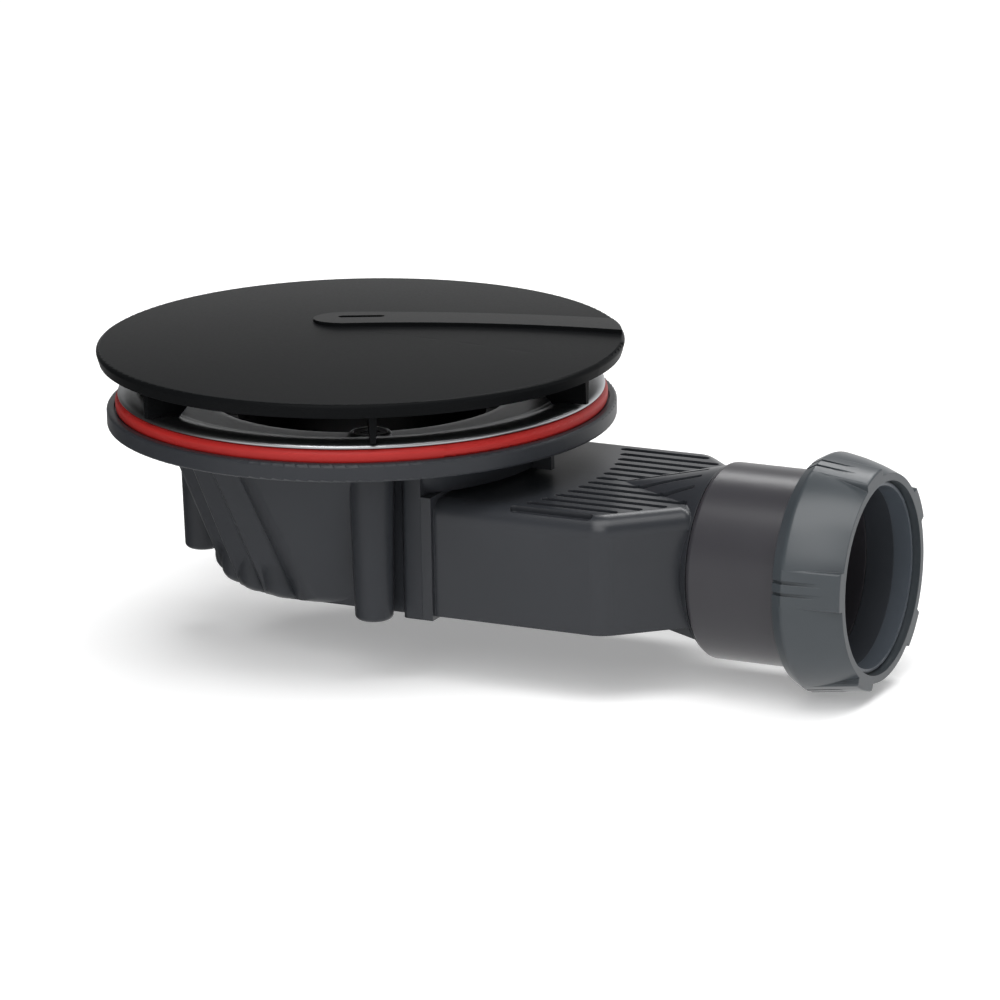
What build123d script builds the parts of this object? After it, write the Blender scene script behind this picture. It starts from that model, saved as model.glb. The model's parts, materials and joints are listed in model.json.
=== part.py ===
"""Low shower trap with a horizontal outlet for a 40 mm waste pipe.

Frame: the origin is on the waste axis, in the plane where the shower tray is clamped.
+X runs towards the outlet and +Z is up. All sizes are in millimetres.
"""
from build123d import *
import os
from math import cos, degrees, radians, sin, sqrt

# Standard sizes that the trap is made to fit
pipe_d = 40.0
tray_hole_d = 90.0

# Clearances
close_fit = 0.1
pipe_fit = 0.2
slide_fit = 0.3
thread_fit = 0.4

# Cover
cover_d = 120.5
cover_gap = 8.2
cover_rim = 3.1
cover_crown = 1.9
cover_wall = 2.2
cover_undercut = 0.9
cover_edge_r = 0.9
fin_count = 6
fin_t = 2.1
fin_tip_t = 1.2
fin_l = 10.8
fin_overhang = 1.4
fin_heel = 2.6
fin_root = 0.6
tongue_rise = 0.9
tongue_tilt = 3.4
tongue_tip_x = -8.2
tongue_tip_y = 8.9
tongue_tip_r = 7.6
tongue_axis_angle = 24.5
tongue_front_angle = 27.0
tongue_front_r = 420.0
tongue_back_angle = 22.0
tongue_run = 84.0
slot_angle = 26.0
slot_x = -5.6
slot_y = 11.4
slot_l = 10.6
slot_w = 2.6

# Metal top flange
top_flange_d = 110.8
sheet_t = 0.8
lip_bead_r = 0.8
dish_depth = 1.7
dish_slope = 0.5
dish_hole_r = 33.2
dish_turn_down = 1.6
dish_step = 1.6

# Screws, their seats, bosses and inserts
screw_count = 3
screw_circle_r = 42.3
screw_d = 4.8
screw_head_d = 7.6
screw_l = 35.0
screw_drive_l = 4.2
screw_drive_w = 1.2
screw_drive_depth = 1.1
seat_r = 4.6
boss_d = 10.2
boss_taper = 0.8
boss_edge_r = 1.2
boss_web_t = 2.2
insert_wall = 0.9
insert_l = 10.0

# Gasket
gasket_t = 3.4
gasket_margin = 2.0
gasket_land = 2.6
gasket_edge_r = 1.2

# Body: flange, neck and bowl
flange_reach = 13.0
flange_t = 3.3
flange_rim_h = 0.8
flange_edge_r = 0.7
wall_t = 2.2
neck_r = 32.6
neck_depth = 6.8
neck_ledge = 2.2
bowl_top_r = 45.7
bowl_bottom_r = 32.8
bowl_depth = 42.2
bowl_corner_r = 4.0
pleat_count = 5
pleat_top_angle = 102.0
pleat_top_step_angle = 11.0
pleat_bottom_angle = 86.9
pleat_bottom_step_angle = 16.8
pleat_depth = 2.3
pleat_shoulder_l = 3.2
pleat_shoulder_r = 3.8
pleat_lap_angle = 2.0

# Dip tube and its O-ring
dip_tube_d = 44.0
dip_tube_wall = 1.8
dip_tube_gap = 3.2
dip_rim_h = 4.6
dip_seal_d = 2.2

# Body: posts, gusset and window at the seam where the duct is welded on
seam_x = 31.1
weld_flange_t = 2.5
weld_proud = 1.3
weld_step = 0.8
post_l = 5.1
post_w = 7.6
post_edge_r = 1.5
window_h = 8.0
window_half_w = 24.0
gusset_t = 1.6
gusset_reach = 48.0

# Outlet duct
duct_half_w = 31.3
duct_top = -15.1
duct_lift = 0.4
duct_reach = 32.0
duct_cut_l = 15.6
duct_cut_w = 14.8
duct_edge_r = 4.4
duct_corner_r = 7.0
duct_end_r = 3.0

# Outlet duct: grooves, fairing and sole
groove_count = 15
groove_pitch = 4.1
groove_w = 2.0
groove_fine_w = 1.1
groove_depth = 1.3
groove_start_gap = 0.8
groove_side_gap = 4.0
groove_end_gap = 3.4
fairing_l = 26.0
fairing_tip_r = 1.0
fairing_tip_drop = 1.5
sole_l = 14.2
sole_half_w = 15.0
sole_drop = 3.5
sole_overlap = 1.0

# Outlet socket
outlet_z = -30.7
socket_wall = 1.8
socket_l = 30.6
socket_back_r = 1.4
spigot_l = 5.4
spigot_wall = 2.0
pipe_stop_l = 2.0
pipe_stop_h = 2.0
thread_l = 7.2
thread_h = 1.3
seal_seat_l = 5.0
seal_seat_step = 0.5
seal_seat_rise = 1.2

# Pipe seal, slip ring and nut
seal_flange_t = 1.6
slip_ring_t = 3.4
slip_ring_collar = 0.9
slip_ring_wall = 0.7
nut_skirt = 0.9
nut_lip_t = 2.6
nut_wall = 3.1
nut_crown_l = 2.6
nut_crown_round = 2.0
nut_back_drop = 1.4
nut_front_drop = 3.5
nut_bulge = 0.5
nut_mouth_gap = 1.4
lug_count = 5
lug_w = 8.6
lug_drop = 1.7
lug_angle = 173.0
lug_edge_r = 0.6
lug_groove_w = 0.7
lug_groove_l = 12.0
lug_groove_depth = 0.6
lug_groove_spread = 2.6

# Levels and radii worked out from the sizes above
cover_r = cover_d / 2
cover_edge = cover_gap + cover_rim
cover_top = cover_edge + cover_crown
cover_ceiling = cover_top + cover_wall
fin_outer_r = top_flange_d / 2 + fin_overhang
fin_inner_r = fin_outer_r - fin_l
lip_top = close_fit + 2 * lip_bead_r
dish_floor = sheet_t - dish_depth
screw_r = screw_d / 2
screw_head_r = screw_head_d / 2
insert_bore_r = screw_r + close_fit
insert_r = insert_bore_r + insert_wall
flange_d = tray_hole_d + 2 * flange_reach
gasket_r = flange_d / 2 - gasket_margin
gasket_inner_r = tray_hole_d / 2 + gasket_land
plate_top = -gasket_t
plate_bottom = plate_top - flange_t
ledge_top = plate_top - neck_depth
neck_low = ledge_top - neck_ledge
bowl_bottom = -bowl_depth
bowl_floor = bowl_bottom + wall_t
bowl_slope = (bowl_top_r - bowl_bottom_r) / (plate_bottom - bowl_bottom)
dip_tube_end = bowl_floor + dip_tube_gap
duct_bottom = bowl_bottom + duct_lift
duct_floor = duct_bottom + wall_t
duct_ceiling = duct_top - wall_t - groove_depth
duct_end_x = flange_d / 2 + duct_reach
duct_corner_x = duct_end_x - duct_cut_l
duct_end_half_w = duct_half_w - duct_cut_w
overhang_z = duct_top + weld_step
weld_bottom = duct_bottom - weld_step
weld_half_w = duct_half_w + weld_proud
pipe_bore_r = pipe_d / 2 + pipe_fit
pipe_stop_r = pipe_bore_r - pipe_stop_h
ring_bore_r = pipe_bore_r + close_fit
socket_r = pipe_bore_r + socket_wall
thread_r = socket_r + thread_h
spigot_r = pipe_stop_r + pipe_stop_h / 2
spigot_end_x = duct_end_x + spigot_l
spigot_hole_r = spigot_r - spigot_wall
outlet_disc_r = socket_r - socket_back_r / 2
pipe_stop_x = spigot_end_x + close_fit
pipe_bore_x = pipe_stop_x + pipe_stop_l
socket_end_x = duct_end_x + socket_l
thread_start_x = socket_end_x - thread_l
seal_seat_x = socket_end_x - seal_seat_l
seal_flange_r = thread_r - slide_fit
seal_front_x = socket_end_x + seal_flange_t
slip_front_x = seal_front_x + slip_ring_t
slip_ring_r = seal_flange_r - slide_fit
nut_bore_r = thread_r + thread_fit
nut_r = nut_bore_r + nut_wall
nut_back_x = thread_start_x - nut_skirt
nut_crown_x = nut_back_x + nut_crown_l
nut_front_x = slip_front_x + nut_lip_t
nut_mouth_r = pipe_bore_r + nut_mouth_gap
screw_angles = [180 + 360 / screw_count * i for i in range(screw_count)]
fin_angles = [360 / fin_count * i for i in range(fin_count)]
lug_angles = [lug_angle + 360 / lug_count * i for i in range(lug_count)]

# Planes and axes
outlet_plane = Plane(origin=(0, 0, outlet_z), x_dir=(1, 0, 0), z_dir=(0, -1, 0))
outlet_axis = Axis((0, 0, outlet_z), (1, 0, 0))


def bowl_r(z):
    """Outer radius of the bowl's plain cone at a height."""
    return bowl_bottom_r + bowl_slope * (z - bowl_bottom)


def on_circle(r, angle):
    """Point in plan at a radius and an angle in degrees."""
    return (r * cos(radians(angle)), r * sin(radians(angle)))


def beside(point, distance, angle):
    """Point in plan at a distance and an angle in degrees from another one."""
    step = on_circle(distance, angle)
    return (point[0] + step[0], point[1] + step[1])


def turned(points, radii=0.0):
    """Solid turned about the waste axis from an outline of radius and height."""
    outline = make_face(FilletPolyline(*points, radius=radii, close=True))
    return revolve(Plane.XZ * outline, Axis.Z)


def turned_on_outlet(points, radii=0.0):
    """Solid turned about the outlet axis from an outline of X and radius."""
    outline = make_face(FilletPolyline(*points, radius=radii, close=True))
    return revolve(outlet_plane * outline, outlet_axis)


def upright(face, low, high):
    """Prism of a plan outline between two heights."""
    return extrude(Plane.XY.offset(low) * face, high - low)


def rod(r, low, high, x=0.0):
    """Upright cylinder between two heights, centred on the X axis."""
    return upright(Pos(x, 0) * Circle(r), low, high)


def block_from(x, low, high):
    """Block that takes in everything beyond an X between two heights."""
    length = spigot_end_x - x
    return upright(Pos(x + length / 2, 0) * Rectangle(length, flange_d), low, high)


def cone_below(x, z, top_r, drop):
    """Cone of 45 degrees that narrows downwards from a height."""
    return Pos(x, 0, z - drop / 2) * Cone(top_r - drop, top_r, drop)


def round_the_axis(shape, angles):
    """Copies of a shape turned about the waste axis."""
    return [Rot(0, 0, angle) * shape for angle in angles]


def cover_dome(extra=0.0):
    """Parabola of the cover's top in section, from the axis to the rim."""
    return Bezier((0, cover_top + extra), (cover_r / 2, cover_top + extra), (cover_r, cover_edge + extra))


def make_fin():
    """One fin along +X: it stands on the flange's lip, with a heel inside it."""
    heel_z = sheet_t + close_fit
    heel_outer = top_flange_d / 2 - 2 * lip_bead_r - slide_fit
    top = cover_edge - cover_wall + fin_root
    outline = [
        (fin_inner_r, top),
        (fin_inner_r, heel_z + fin_heel),
        (fin_inner_r + fin_heel, heel_z),
        (heel_outer, heel_z),
        (heel_outer, lip_top),
        (fin_outer_r, lip_top),
        (fin_outer_r, top),
    ]
    blade = extrude(Plane.XZ * make_face(Polyline(*outline, close=True)), fin_t, both=True)
    middle = (fin_outer_r + fin_inner_r) / 2
    length = 2 * (fin_outer_r - fin_inner_r)
    root = Plane.XY.offset(top) * Pos(middle, 0) * Rectangle(length, fin_t)
    tip = Plane.XY.offset(heel_z) * Pos(middle, 0) * Rectangle(length, fin_tip_t)
    return blade & loft([root, tip])


def make_tongue():
    """Raised tongue: a step along its curved front, level with the dome along its back."""
    middle = (tongue_tip_x, tongue_tip_y)
    front_start = beside(middle, tongue_tip_r, tongue_front_angle - 90)
    back_start = beside(middle, tongue_tip_r, tongue_back_angle + 90)
    nose = beside(middle, tongue_tip_r, tongue_axis_angle + 180)
    front_turn = -degrees(tongue_run / tongue_front_r)
    front = JernArc(front_start, on_circle(1, tongue_front_angle), tongue_front_r, front_turn)
    back_end = beside(back_start, tongue_run, tongue_back_angle)
    tip = ThreePointArc(back_start, nose, front_start)
    plan = make_face(front + Line(front @ 1, back_end) + Line(back_end, back_start) + tip)
    dome = cover_dome(tongue_rise / 2)
    section = make_face(dome + Polyline(dome @ 1, (cover_r, cover_gap), (0, cover_gap), dome @ 0))
    ridge = on_circle(1, tongue_axis_angle)
    hinge = Axis((tongue_tip_x, tongue_tip_y, cover_top), (ridge[0], ridge[1], 0))
    tilted = revolve(Plane.XZ * section, Axis.Z).rotate(hinge, -tongue_tilt)
    inside_rim = rod(cover_r - cover_edge_r, cover_edge - cover_wall / 2, cover_ceiling)
    return upright(plan, cover_gap, cover_ceiling) & tilted & inside_rim


def make_cover():
    """Domed lid with an undercut rim, six fins, the tongue and its slot."""
    dome = cover_dome()
    low_r = cover_r - cover_undercut
    inner_r = low_r - cover_wall
    underside = Polyline(
        dome @ 1,
        (low_r, cover_gap),
        (inner_r, cover_gap),
        (inner_r, cover_edge - cover_wall),
        (0, cover_top - cover_wall),
        dome @ 0,
    )
    section = make_face(dome + underside)
    section = fillet(section.vertices().sort_by(Axis.X)[-1:], cover_edge_r)
    shell = revolve(Plane.XZ * section, Axis.Z)
    slot = Pos(slot_x, slot_y) * Rot(0, 0, slot_angle) * SlotOverall(slot_l, slot_w)
    lid = shell + make_tongue() + round_the_axis(make_fin(), fin_angles)
    return lid - upright(slot, cover_gap, cover_ceiling)


def make_top_flange():
    """Pressed flange: rolled lip, flat seat, dished floor, turned-down hole and screw seats."""
    bead_r = top_flange_d / 2 - lip_bead_r
    step_r = tray_hole_d / 2
    hole_z = dish_floor - dish_slope
    low = hole_z - dish_turn_down
    sheet = turned(
        [
            (bead_r, 0),
            (bead_r, sheet_t),
            (step_r + dish_step, sheet_t),
            (step_r, dish_floor),
            (dish_hole_r + sheet_t, hole_z),
            (dish_hole_r, hole_z - sheet_t),
            (dish_hole_r, low),
            (dish_hole_r + sheet_t, low),
            (dish_hole_r + sheet_t, hole_z - sheet_t),
            (step_r - sheet_t / 2, dish_floor - sheet_t),
            (step_r + dish_step - sheet_t / 2, 0),
        ]
    )
    bead = revolve(Plane.XZ * Pos(bead_r, lip_top - lip_bead_r) * Circle(lip_bead_r), Axis.Z)
    seat = rod(seat_r, dish_floor - sheet_t, sheet_t, screw_circle_r)
    hollow = rod(seat_r - sheet_t, low, 0, screw_circle_r)
    sink = cone_below(screw_circle_r, sheet_t, screw_head_r, screw_head_r - screw_r)
    dimple = cone_below(screw_circle_r, sheet_t, screw_head_r + sheet_t, screw_head_r - screw_r)
    hole = rod(screw_r + slide_fit, low, sheet_t, screw_circle_r)
    flange = sheet + bead + round_the_axis(seat, screw_angles)
    flange = flange - round_the_axis(hollow, screw_angles)
    flange = flange + round_the_axis(dimple, screw_angles)
    return flange - round_the_axis(sink + hole, screw_angles)


def make_screws():
    """Countersunk screws with a cross drive, seated in the flange."""
    top = sheet_t - close_fit
    drop = screw_head_r - screw_r - close_fit
    head = cone_below(screw_circle_r, top, screw_head_r - close_fit, drop)
    shank = rod(screw_r, sheet_t - screw_l, top - drop, screw_circle_r)
    bar = Rectangle(screw_drive_l, screw_drive_w)
    cross = Pos(screw_circle_r, 0) * (bar + Rot(0, 0, 90) * bar)
    screw = head + shank - upright(cross, top - screw_drive_depth, sheet_t)
    return Compound(children=round_the_axis(screw, screw_angles))


def make_inserts():
    """Threaded inserts in the tops of the bosses."""
    low = plate_top - insert_l
    insert = rod(insert_r, low, plate_top, screw_circle_r) - rod(insert_bore_r, low, plate_top, screw_circle_r)
    return Compound(children=round_the_axis(insert, screw_angles))


def make_gasket():
    """Flat ring with a rounded outer face."""
    return turned(
        [(gasket_inner_r, plate_top), (gasket_r, plate_top), (gasket_r, 0), (gasket_inner_r, 0)],
        [0, gasket_edge_r, gasket_edge_r, 0],
    )


def make_pleat(index, inset):
    """Cutter of one louvre: a rounded shoulder, a step inwards and a slow rise to the next louvre."""

    def plan(z, first, step):
        r = bowl_r(z) - inset
        angle = degrees(inset / r) - first - step * index
        root = on_circle(r - pleat_depth, angle - degrees(pleat_shoulder_l / r))
        shoulder = RadiusArc(on_circle(r, angle), root, pleat_shoulder_r)
        outside = Polyline(
            root,
            on_circle(r, angle - step),
            on_circle(r + pleat_depth, angle - step - pleat_lap_angle),
            on_circle(r + pleat_depth, angle + pleat_lap_angle),
            on_circle(r, angle),
        )
        return Plane.XY.offset(z) * make_face(shoulder + outside)

    low = plan(bowl_bottom, pleat_bottom_angle, pleat_bottom_step_angle)
    high = plan(plate_bottom, pleat_top_angle, pleat_top_step_angle)
    return loft([low, high], ruled=True)


def make_bowl_form(inset, low, corner_r):
    """Cone of the bowl with louvred sides, set in from its outer face and rounded at the floor."""
    cone = turned(
        [(0, low), (bowl_r(low) - inset, low), (bowl_top_r - inset, plate_bottom), (0, plate_bottom)],
        [0, corner_r, 0, 0],
    )
    pleats = [make_pleat(i, inset) for i in range(pleat_count)]
    return cone - pleats - [mirror(pleat, Plane.XZ) for pleat in pleats]


def duct_plan(start_x):
    """Plan of the duct, with its two far corners cut back towards the outlet."""
    near = [(start_x, -duct_half_w), (duct_corner_x, -duct_half_w), (duct_end_x, -duct_end_half_w)]
    far = [(duct_end_x, duct_end_half_w), (duct_corner_x, duct_half_w), (start_x, duct_half_w)]
    return make_face(Polyline(*near, *far, close=True))


def make_duct_form():
    """Outer form of the duct, rounded along its top and its upright corners."""
    duct = upright(duct_plan(seam_x), duct_bottom, duct_top)
    corners = duct.edges().filter_by(Axis.Z).group_by(Axis.X)
    duct = fillet(corners[1], duct_corner_r)
    ends = duct.edges().filter_by(Axis.Z).group_by(Axis.X)
    duct = fillet(ends[-1], duct_end_r)
    rims = duct.edges().group_by(Axis.Z)[-1].filter_by(lambda e: e.center().X > seam_x + close_fit)
    return fillet(rims, duct_edge_r)


def make_fairing():
    """Oblique cone from the duct's top to the outlet's disc, with a sole below it."""
    tip_x = duct_end_x - fairing_l
    tip_plane = Plane(origin=(tip_x, 0, duct_top - fairing_tip_drop), z_dir=(1, 0, 0))
    end_plane = Plane(origin=(duct_end_x, 0, outlet_z), z_dir=(1, 0, 0))
    cone = loft([tip_plane * Circle(fairing_tip_r), end_plane * Circle(outlet_disc_r)])
    above = block_from(seam_x, duct_top - duct_edge_r, 0)
    sole_start_x = duct_end_x - sole_l
    sole_side = [
        (sole_start_x, duct_bottom),
        (duct_end_x, duct_bottom - sole_drop),
        (duct_end_x, duct_bottom + sole_overlap),
        (sole_start_x, duct_bottom + sole_overlap),
    ]
    sole = extrude(Plane.XZ * make_face(Polyline(*sole_side, close=True)), sole_half_w, both=True)
    disc_x = duct_end_x - wall_t
    disc = [(disc_x, 0), (disc_x, spigot_r), (duct_end_x, outlet_disc_r), (duct_end_x, 0)]
    return (cone & above) + sole + turned_on_outlet(disc)


def make_lane(y):
    """Plan of one groove, wide on the flat top and fine on the fairing."""
    start_x = sqrt((flange_d / 2 + groove_start_gap) ** 2 - y ** 2)
    side_x = duct_corner_x + duct_half_w - sqrt(2) * groove_side_gap - abs(y)
    end_x = min(duct_end_x - groove_end_gap, side_x)
    half_chord = sqrt(outlet_disc_r ** 2 - (duct_top - outlet_z) ** 2)
    fold_x = duct_end_x - fairing_l * max(0, 1 - abs(y) / half_chord)
    wide_end_x = min(end_x, fold_x)
    wide = Pos((start_x + wide_end_x) / 2, y) * SlotOverall(wide_end_x - start_x, groove_w)
    fine = Pos((start_x + end_x) / 2, y) * SlotOverall(end_x - start_x, groove_fine_w)
    return wide + fine


def make_grooves(form):
    """Grooves along the duct's top, cut to one depth below the form's own surface."""
    first = -groove_pitch * (groove_count - 1) / 2
    lanes = [make_lane(first + groove_pitch * i) for i in range(groove_count)]
    cutters = upright(Sketch() + lanes, duct_top - duct_edge_r - groove_depth, outlet_z + nut_r)
    return cutters - Pos(0, 0, -groove_depth) * form


def make_plate():
    """Body flange: a disc with a low rim round the gasket."""
    flange_r = flange_d / 2
    recess_r = gasket_r + slide_fit
    rim_top = plate_top + flange_rim_h
    return turned(
        [
            (0, plate_bottom),
            (flange_r, plate_bottom),
            (flange_r, rim_top),
            (recess_r, rim_top),
            (recess_r, plate_top),
            (0, plate_top),
        ],
        [0, flange_edge_r, flange_edge_r, 0, 0, 0],
    )


def make_neck():
    """Neck below the flange, with the ledge that carries the dip tube."""
    return turned(
        [
            (neck_r, plate_bottom),
            (neck_r + wall_t, plate_bottom),
            (neck_r + wall_t, neck_low),
            (neck_r - neck_ledge, neck_low),
            (neck_r - neck_ledge, ledge_top),
            (neck_r, ledge_top),
        ]
    )


def make_boss():
    """Screw boss, slightly tapered and rounded at its foot."""
    top_r = boss_d / 2
    height = plate_bottom - bowl_bottom
    boss = Pos(screw_circle_r, 0, bowl_bottom + height / 2) * Cone(top_r - boss_taper, top_r, height)
    return fillet(boss.edges().group_by(Axis.Z)[0], boss_edge_r)


def make_flanks(inset):
    """Blocks beside the duct's line and beyond its two bosses, where the cone is cut back to the side walls."""
    boss_x = screw_circle_r * cos(radians(180 / screw_count))
    block = block_from(boss_x - inset, bowl_bottom, plate_bottom)
    shift = flange_d / 2 + duct_half_w - inset
    return [Pos(0, sign * shift, 0) * block for sign in (-1, 1)]


def make_body_frame():
    """Outside of the bowl: the louvred cone, cut flat at the seam, with side walls, posts and a gusset."""
    bowl = make_bowl_form(0, bowl_bottom, bowl_corner_r) - make_flanks(0)
    bowl = bowl - block_from(seam_x, bowl_bottom, overhang_z)
    sides = upright(Pos(seam_x / 2, 0) * Rectangle(seam_x, 2 * duct_half_w), duct_bottom, duct_top)
    post_plan = Pos(seam_x - post_l / 2, post_w / 2 - weld_half_w) * Rectangle(post_l, post_w)
    post_plan = fillet(post_plan.vertices().group_by(Axis.Y)[0].sort_by(Axis.X)[:1], post_edge_r)
    post = upright(post_plan, weld_bottom, plate_bottom)
    gusset_plan = Pos(gusset_reach / 2, 0) * Rectangle(gusset_reach, gusset_t)
    gusset = upright(gusset_plan, overhang_z, plate_bottom)
    return bowl + sides + [gusset, post, mirror(post, Plane.XZ)]


def make_body_rooms():
    """Water ways of the body: the bowl, the space behind the flat wall and the window over the weir."""
    inside_x = seam_x - wall_t
    bowl = make_bowl_form(wall_t, bowl_floor, bowl_corner_r - wall_t) - make_flanks(wall_t)
    bowl = bowl - block_from(inside_x, bowl_bottom, neck_low)
    corner_plan = Pos(inside_x / 2, 0) * Rectangle(inside_x, 2 * (duct_half_w - wall_t))
    corners = upright(corner_plan, duct_floor, duct_ceiling)
    window_plan = Pos(seam_x / 2, 0) * Rectangle(seam_x, 2 * window_half_w)
    window = upright(window_plan, duct_ceiling - window_h, duct_ceiling)
    return [bowl, corners, window]


def make_body():
    """Body moulding: flange, neck, louvred bowl, bosses and the frame for the duct."""
    boss = make_boss()
    web_l = screw_circle_r - bowl_bottom_r + wall_t
    web_plan = Pos(screw_circle_r - web_l / 2, 0) * Rectangle(web_l, boss_web_t)
    web = upright(web_plan, bowl_bottom + bowl_corner_r, plate_bottom)
    body = make_plate() + make_body_frame() + round_the_axis(boss + web, screw_angles)
    body = body - make_body_rooms()
    body = body + make_neck() + round_the_axis(boss, screw_angles)
    neck_hole = rod(neck_r, ledge_top, plate_top) + rod(neck_r - neck_ledge, neck_low, plate_top)
    insert_hole = rod(insert_r, plate_top - insert_l, plate_top, screw_circle_r)
    screw_hole = rod(screw_r + slide_fit, bowl_floor, plate_top, screw_circle_r)
    return body - neck_hole - round_the_axis(insert_hole + screw_hole, screw_angles)


def make_outlet_duct():
    """Duct moulding: welding flange, grooved duct with its fairing and sole, and outlet spigot."""
    form = make_duct_form() + make_fairing()
    flange_plan = Pos(seam_x + weld_flange_t / 2, 0) * Rectangle(weld_flange_t, 2 * weld_half_w)
    weld_flange = upright(flange_plan, weld_bottom, overhang_z)
    room_plan = offset(duct_plan(seam_x - wall_t), -wall_t, kind=Kind.INTERSECTION)
    room = upright(room_plan, duct_floor, duct_ceiling)
    inside_x = duct_end_x - wall_t - close_fit
    hole = [(inside_x, 0), (inside_x, spigot_hole_r), (duct_end_x, spigot_hole_r), (duct_end_x, 0)]
    end_hole = turned_on_outlet(hole) & block_from(seam_x, duct_floor, 0)
    spigot = turned_on_outlet(
        [
            (duct_end_x, spigot_hole_r),
            (spigot_end_x, spigot_hole_r),
            (spigot_end_x, spigot_r),
            (duct_end_x, spigot_r),
        ]
    )
    return form + weld_flange - room - end_hole - make_grooves(form) + spigot


def make_dip_tube():
    """Lift-out insert: a grooved rim on the neck's ledge, a funnel and the dip tube."""
    rim_r = neck_r - slide_fit
    groove_r = neck_r - close_fit - dip_seal_d
    rim_top = ledge_top + dip_rim_h
    groove_low = ledge_top + (dip_rim_h - dip_seal_d) / 2
    groove_high = groove_low + dip_seal_d
    throat_r = neck_r - neck_ledge - slide_fit
    tube_r = dip_tube_d / 2
    inner_r = tube_r - dip_tube_wall
    funnel_z = ledge_top - (throat_r - tube_r)
    return turned(
        [
            (rim_r, ledge_top),
            (rim_r, groove_low),
            (groove_r, groove_low),
            (groove_r, groove_high),
            (rim_r, groove_high),
            (rim_r, rim_top),
            (throat_r - dip_tube_wall, rim_top),
            (throat_r - dip_tube_wall, ledge_top + dip_tube_wall / 2),
            (inner_r, funnel_z + dip_tube_wall / 2),
            (inner_r, dip_tube_end),
            (tube_r, dip_tube_end),
            (tube_r, funnel_z),
            (throat_r, ledge_top),
        ]
    )


def make_dip_seal():
    """O-ring in the groove of the insert's rim."""
    half = dip_seal_d / 2
    centre = Pos(neck_r - close_fit - half, ledge_top + dip_rim_h / 2)
    return revolve(Plane.XZ * centre * Circle(half), Axis.Z)


def make_socket():
    """Round socket on the spigot: pipe stop, pipe bore, seal seat and threaded end."""
    points = [
        (duct_end_x, spigot_r + close_fit),
        (duct_end_x, socket_r),
        (thread_start_x, socket_r),
        (thread_start_x, thread_r),
        (socket_end_x, thread_r),
        (socket_end_x, pipe_bore_r + seal_seat_step + seal_seat_rise),
        (seal_seat_x, pipe_bore_r + seal_seat_step),
        (seal_seat_x, pipe_bore_r),
        (pipe_bore_x, pipe_bore_r),
        (pipe_bore_x, pipe_stop_r),
        (pipe_stop_x, pipe_stop_r),
        (pipe_stop_x, spigot_r + close_fit),
    ]
    radii = [socket_back_r if point == points[1] else 0 for point in points]
    return turned_on_outlet(points, radii)


def make_pipe_seal():
    """Rubber ring: a wedge in the socket's seat and a flange on the socket's end."""
    back_x = seal_seat_x + close_fit
    back_r = pipe_bore_r + seal_seat_step - close_fit
    return turned_on_outlet(
        [
            (back_x, ring_bore_r),
            (back_x, back_r),
            (socket_end_x, back_r + seal_seat_rise),
            (socket_end_x, seal_flange_r),
            (seal_front_x, seal_flange_r),
            (seal_front_x, ring_bore_r),
        ]
    )


def make_slip_ring():
    """Slip ring: a washer behind the nut's lip with a thin collar in its mouth."""
    collar_r = ring_bore_r + slip_ring_wall
    collar_x = slip_front_x + slip_ring_collar
    return turned_on_outlet(
        [
            (seal_front_x, ring_bore_r),
            (seal_front_x, slip_ring_r),
            (slip_front_x, slip_ring_r),
            (slip_front_x, collar_r),
            (collar_x, collar_r),
            (collar_x, ring_bore_r),
        ]
    )


def make_lug():
    """One lug at the nut's top: it stays proud as the nut narrows, with rounded edges."""
    length = nut_front_x - nut_crown_x
    middle_x = nut_front_x - length / 2
    outline = [
        (nut_crown_x, nut_mouth_r),
        (nut_crown_x, nut_r),
        (nut_front_x, nut_r - lug_drop),
        (nut_front_x, nut_mouth_r),
    ]
    bar = Pos(middle_x, 0, outlet_z + nut_r) * Box(length, lug_w, nut_r)
    lug = turned_on_outlet(outline) & bar
    outer = lug.edges().filter_by(lambda e: e.center().Z > outlet_z + nut_bore_r)
    return fillet(outer.filter_by(lambda e: e.center().X > middle_x - nut_crown_l), lug_edge_r)


def make_lug_grooves():
    """Two fine grooves along a lug at the nut's top, running out towards the front."""
    end_x = nut_back_x + lug_groove_l
    top = nut_r + lug_groove_depth
    side = [
        (nut_back_x, nut_r - nut_back_drop - lug_groove_depth),
        (nut_crown_x, nut_r - lug_groove_depth),
        (end_x, nut_r - lug_drop * (end_x - nut_crown_x) / (nut_front_x - nut_crown_x)),
        (end_x, top),
        (nut_back_x, top),
    ]
    groove = extrude(outlet_plane * make_face(Polyline(*side, close=True)), lug_groove_w / 2, both=True)
    return [Pos(0, sign * lug_groove_spread / 2, 0) * groove for sign in (-1, 1)]


def make_nut():
    """Hand nut: a shell that narrows from its crown, with an inner lip and lugs."""
    back = (nut_back_x, nut_r - nut_back_drop)
    crown = (nut_crown_x, nut_r)
    front = (nut_front_x, nut_r - nut_front_drop)
    middle = ((crown[0] + front[0]) / 2, (crown[1] + front[1]) / 2 + nut_bulge)
    mouth = Polyline(front, (nut_front_x, nut_mouth_r), (nut_back_x, nut_mouth_r), back)
    section = make_face(Line(back, crown) + ThreePointArc(crown, middle, front) + mouth)
    section = fillet(section.vertices().sort_by(Axis.Y)[-1:], nut_crown_round)
    blank = revolve(outlet_plane * section, outlet_axis)
    hollow = turned_on_outlet(
        [
            (nut_back_x, 0),
            (nut_back_x, nut_bore_r),
            (seal_front_x, nut_bore_r),
            (slip_front_x, seal_flange_r),
            (slip_front_x, 0),
        ]
    )
    turns = [angle - 90 for angle in lug_angles]
    lugs = [make_lug().rotate(outlet_axis, turn) for turn in turns]
    cuts = [groove.rotate(outlet_axis, turn) for groove in make_lug_grooves() for turn in turns]
    return blank + lugs - hollow - cuts


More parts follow.
